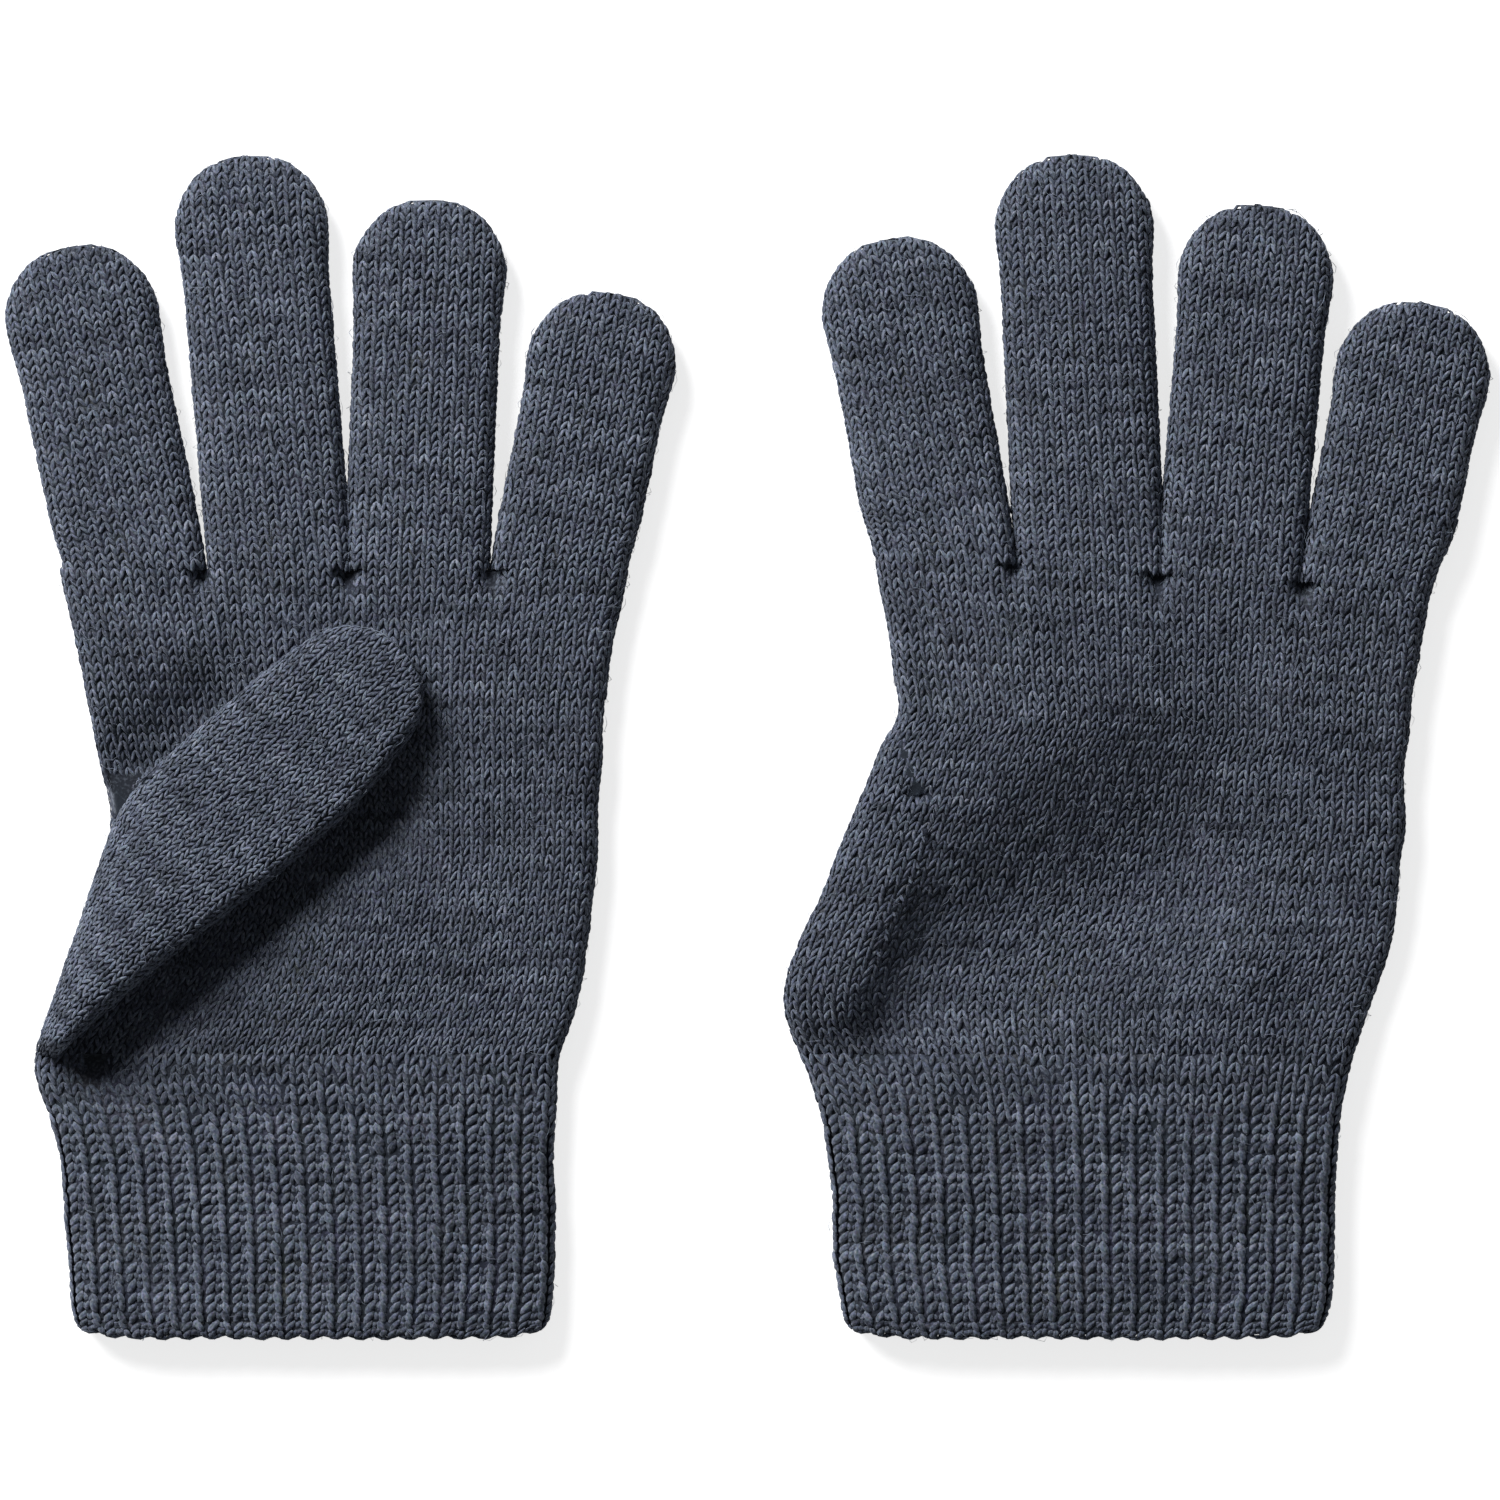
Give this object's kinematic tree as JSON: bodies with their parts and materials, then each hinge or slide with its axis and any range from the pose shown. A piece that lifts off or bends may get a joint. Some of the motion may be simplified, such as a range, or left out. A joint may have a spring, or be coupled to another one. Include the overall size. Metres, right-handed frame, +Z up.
{
  "type": "pair of knitted gloves",
  "caption": "Pair of plain knitted fingered gloves with ribbed cuffs, lying flat, one palm up with the thumb folded over and one back up, to warm the hands.",
  "frame": {"origin": "middle of the pair's box in plan, on the surface that it lies on", "axes": "+X from the left glove to the right one, +Y from the cuffs to the finger tips, +Z up"},
  "size_m": [0.296, 0.2369, 0.018],
  "materials": {
    "plain_knit": "heathered slate wool in plain stockinette",
    "rib_knit": "heathered slate wool in rib",
    "elastic": "covered elastic thread"
  },
  "bodies": {
    "left_hand": {"left_palm": "plain_knit", "left_back": "plain_knit", "left_wrist": "plain_knit", "left_thumb_fold": "plain_knit", "left_index_root": "plain_knit", "left_middle_root": "plain_knit", "left_ring_root": "plain_knit", "left_little_root": "plain_knit"},
    "left_cuff": {"left_cuff_rib": "rib_knit", "left_cuff_hem": "rib_knit", "left_cuff_elastic": "elastic"},
    "left_thumb_tube": {"left_thumb": "plain_knit"},
    "left_index_low": {"left_index_lower": "plain_knit", "left_index_bend": "plain_knit"},
    "left_index_far": {"left_index_upper": "plain_knit"},
    "left_middle_low": {"left_middle_lower": "plain_knit", "left_middle_bend": "plain_knit"},
    "left_middle_far": {"left_middle_upper": "plain_knit"},
    "left_ring_low": {"left_ring_lower": "plain_knit", "left_ring_bend": "plain_knit"},
    "left_ring_far": {"left_ring_upper": "plain_knit"},
    "left_little_low": {"left_little_lower": "plain_knit", "left_little_bend": "plain_knit"},
    "left_little_far": {"left_little_upper": "plain_knit"},
    "right_hand": {"right_palm": "plain_knit", "right_back": "plain_knit", "right_wrist": "plain_knit", "right_thumb_fold": "plain_knit", "right_index_root": "plain_knit", "right_middle_root": "plain_knit", "right_ring_root": "plain_knit", "right_little_root": "plain_knit"},
    "right_cuff": {"right_cuff_rib": "rib_knit", "right_cuff_hem": "rib_knit", "right_cuff_elastic": "elastic"},
    "right_thumb_tube": {"right_thumb": "plain_knit"},
    "right_index_low": {"right_index_lower": "plain_knit", "right_index_bend": "plain_knit"},
    "right_index_far": {"right_index_upper": "plain_knit"},
    "right_middle_low": {"right_middle_lower": "plain_knit", "right_middle_bend": "plain_knit"},
    "right_middle_far": {"right_middle_upper": "plain_knit"},
    "right_ring_low": {"right_ring_lower": "plain_knit", "right_ring_bend": "plain_knit"},
    "right_ring_far": {"right_ring_upper": "plain_knit"},
    "right_little_low": {"right_little_lower": "plain_knit", "right_little_bend": "plain_knit"},
    "right_little_far": {"right_little_upper": "plain_knit"}
  },
  "joints": [
    {"name": "left_cuff_bend", "type": "hinge", "parent": "left_hand", "child": "left_cuff", "pos_m": [-0.08794, -0.06857, 0.0045], "axis": [-1, 0, 0], "range_deg": [0, 60], "deforming": ["left_wrist"]},
    {"name": "left_thumb_unfold", "type": "hinge", "parent": "left_hand", "child": "left_thumb_tube", "pos_m": [-0.12756, -0.03684, 0.0095], "axis": [-0.0698, -0.9976, 0], "range_deg": [0, 170], "deforming": ["left_thumb_fold"]},
    {"name": "left_index_close", "type": "hinge", "parent": "left_hand", "child": "left_index_low", "pos_m": [-0.12344, 0.04222, 0.0045], "axis": [1, 0, 0], "range_deg": [0, 80], "deforming": ["left_index_root"]},
    {"name": "left_index_curl", "type": "hinge", "parent": "left_index_low", "child": "left_index_far", "pos_m": [-0.1305, 0.07154, 0.0045], "axis": [0.9816, 0.1908, 0], "range_deg": [0, 90], "deforming": ["left_index_bend"]},
    {"name": "left_middle_close", "type": "hinge", "parent": "left_hand", "child": "left_middle_low", "pos_m": [-0.09444, 0.04222, 0.0045], "axis": [1, 0, 0], "range_deg": [0, 80], "deforming": ["left_middle_root"]},
    {"name": "left_middle_curl", "type": "hinge", "parent": "left_middle_low", "child": "left_middle_far", "pos_m": [-0.09765, 0.08111, 0.0045], "axis": [0.9976, 0.0698, 0], "range_deg": [0, 90], "deforming": ["left_middle_bend"]},
    {"name": "left_ring_close", "type": "hinge", "parent": "left_hand", "child": "left_ring_low", "pos_m": [-0.06544, 0.04222, 0.0045], "axis": [1, 0, 0], "range_deg": [0, 80], "deforming": ["left_ring_root"]},
    {"name": "left_ring_curl", "type": "hinge", "parent": "left_ring_low", "child": "left_ring_far", "pos_m": [-0.06401, 0.0762, 0.0045], "axis": [0.9994, -0.0349, 0], "range_deg": [0, 90], "deforming": ["left_ring_bend"]},
    {"name": "left_little_close", "type": "hinge", "parent": "left_hand", "child": "left_little_low", "pos_m": [-0.03644, 0.04222, 0.0045], "axis": [1, 0, 0], "range_deg": [0, 80], "deforming": ["left_little_root"]},
    {"name": "left_little_curl", "type": "hinge", "parent": "left_little_low", "child": "left_little_far", "pos_m": [-0.03079, 0.06571, 0.0045], "axis": [0.9833, -0.1822, 0], "range_deg": [0, 90], "deforming": ["left_little_bend"]},
    {"name": "glove_lift", "type": "slide", "parent": "left_hand", "child": "right_hand", "axis": [0, 0, 1], "range_m": [0, 0.12]},
    {"name": "right_cuff_bend", "type": "hinge", "parent": "right_hand", "child": "right_cuff", "pos_m": [0.06796, -0.06859, 0.0045], "axis": [1, 0, 0], "range_deg": [0, 60], "deforming": ["right_wrist"]},
    {"name": "right_thumb_unfold", "type": "hinge", "parent": "right_hand", "child": "right_thumb_tube", "pos_m": [0.03035, -0.03449, 0.0085], "axis": [0.1305, 0.9914, 0], "range_deg": [0, 170], "deforming": ["right_thumb_fold"]},
    {"name": "right_index_close", "type": "hinge", "parent": "right_hand", "child": "right_index_low", "pos_m": [0.03929, 0.04417, 0.0045], "axis": [-0.9981, 0.061, 0], "range_deg": [0, 80], "deforming": ["right_index_root"]},
    {"name": "right_index_curl", "type": "hinge", "parent": "right_index_low", "child": "right_index_far", "pos_m": [0.03275, 0.07368, 0.0045], "axis": [-0.9863, -0.165, 0], "range_deg": [0, 90], "deforming": ["right_index_bend"]},
    {"name": "right_middle_close", "type": "hinge", "parent": "right_hand", "child": "right_middle_low", "pos_m": [0.06824, 0.0424, 0.0045], "axis": [-0.9981, 0.061, 0], "range_deg": [0, 80], "deforming": ["right_middle_root"]},
    {"name": "right_middle_curl", "type": "hinge", "parent": "right_middle_low", "child": "right_middle_far", "pos_m": [0.0662, 0.08139, 0.0045], "axis": [-0.9994, -0.0349, 0], "range_deg": [0, 90], "deforming": ["right_middle_bend"]},
    {"name": "right_ring_close", "type": "hinge", "parent": "right_hand", "child": "right_ring_low", "pos_m": [0.09718, 0.04063, 0.0045], "axis": [-0.9981, 0.061, 0], "range_deg": [0, 80], "deforming": ["right_ring_root"]},
    {"name": "right_ring_curl", "type": "hinge", "parent": "right_ring_low", "child": "right_ring_far", "pos_m": [0.10033, 0.07449, 0.0045], "axis": [-0.9962, 0.0872, 0], "range_deg": [0, 90], "deforming": ["right_ring_bend"]},
    {"name": "right_little_close", "type": "hinge", "parent": "right_hand", "child": "right_little_low", "pos_m": [0.12613, 0.03886, 0.0045], "axis": [-0.9981, 0.061, 0], "range_deg": [0, 80], "deforming": ["right_little_root"]},
    {"name": "right_little_curl", "type": "hinge", "parent": "right_little_low", "child": "right_little_far", "pos_m": [0.13135, 0.06236, 0.0045], "axis": [-0.9833, 0.1822, 0], "range_deg": [0, 90], "deforming": ["right_little_bend"]}
  ]
}
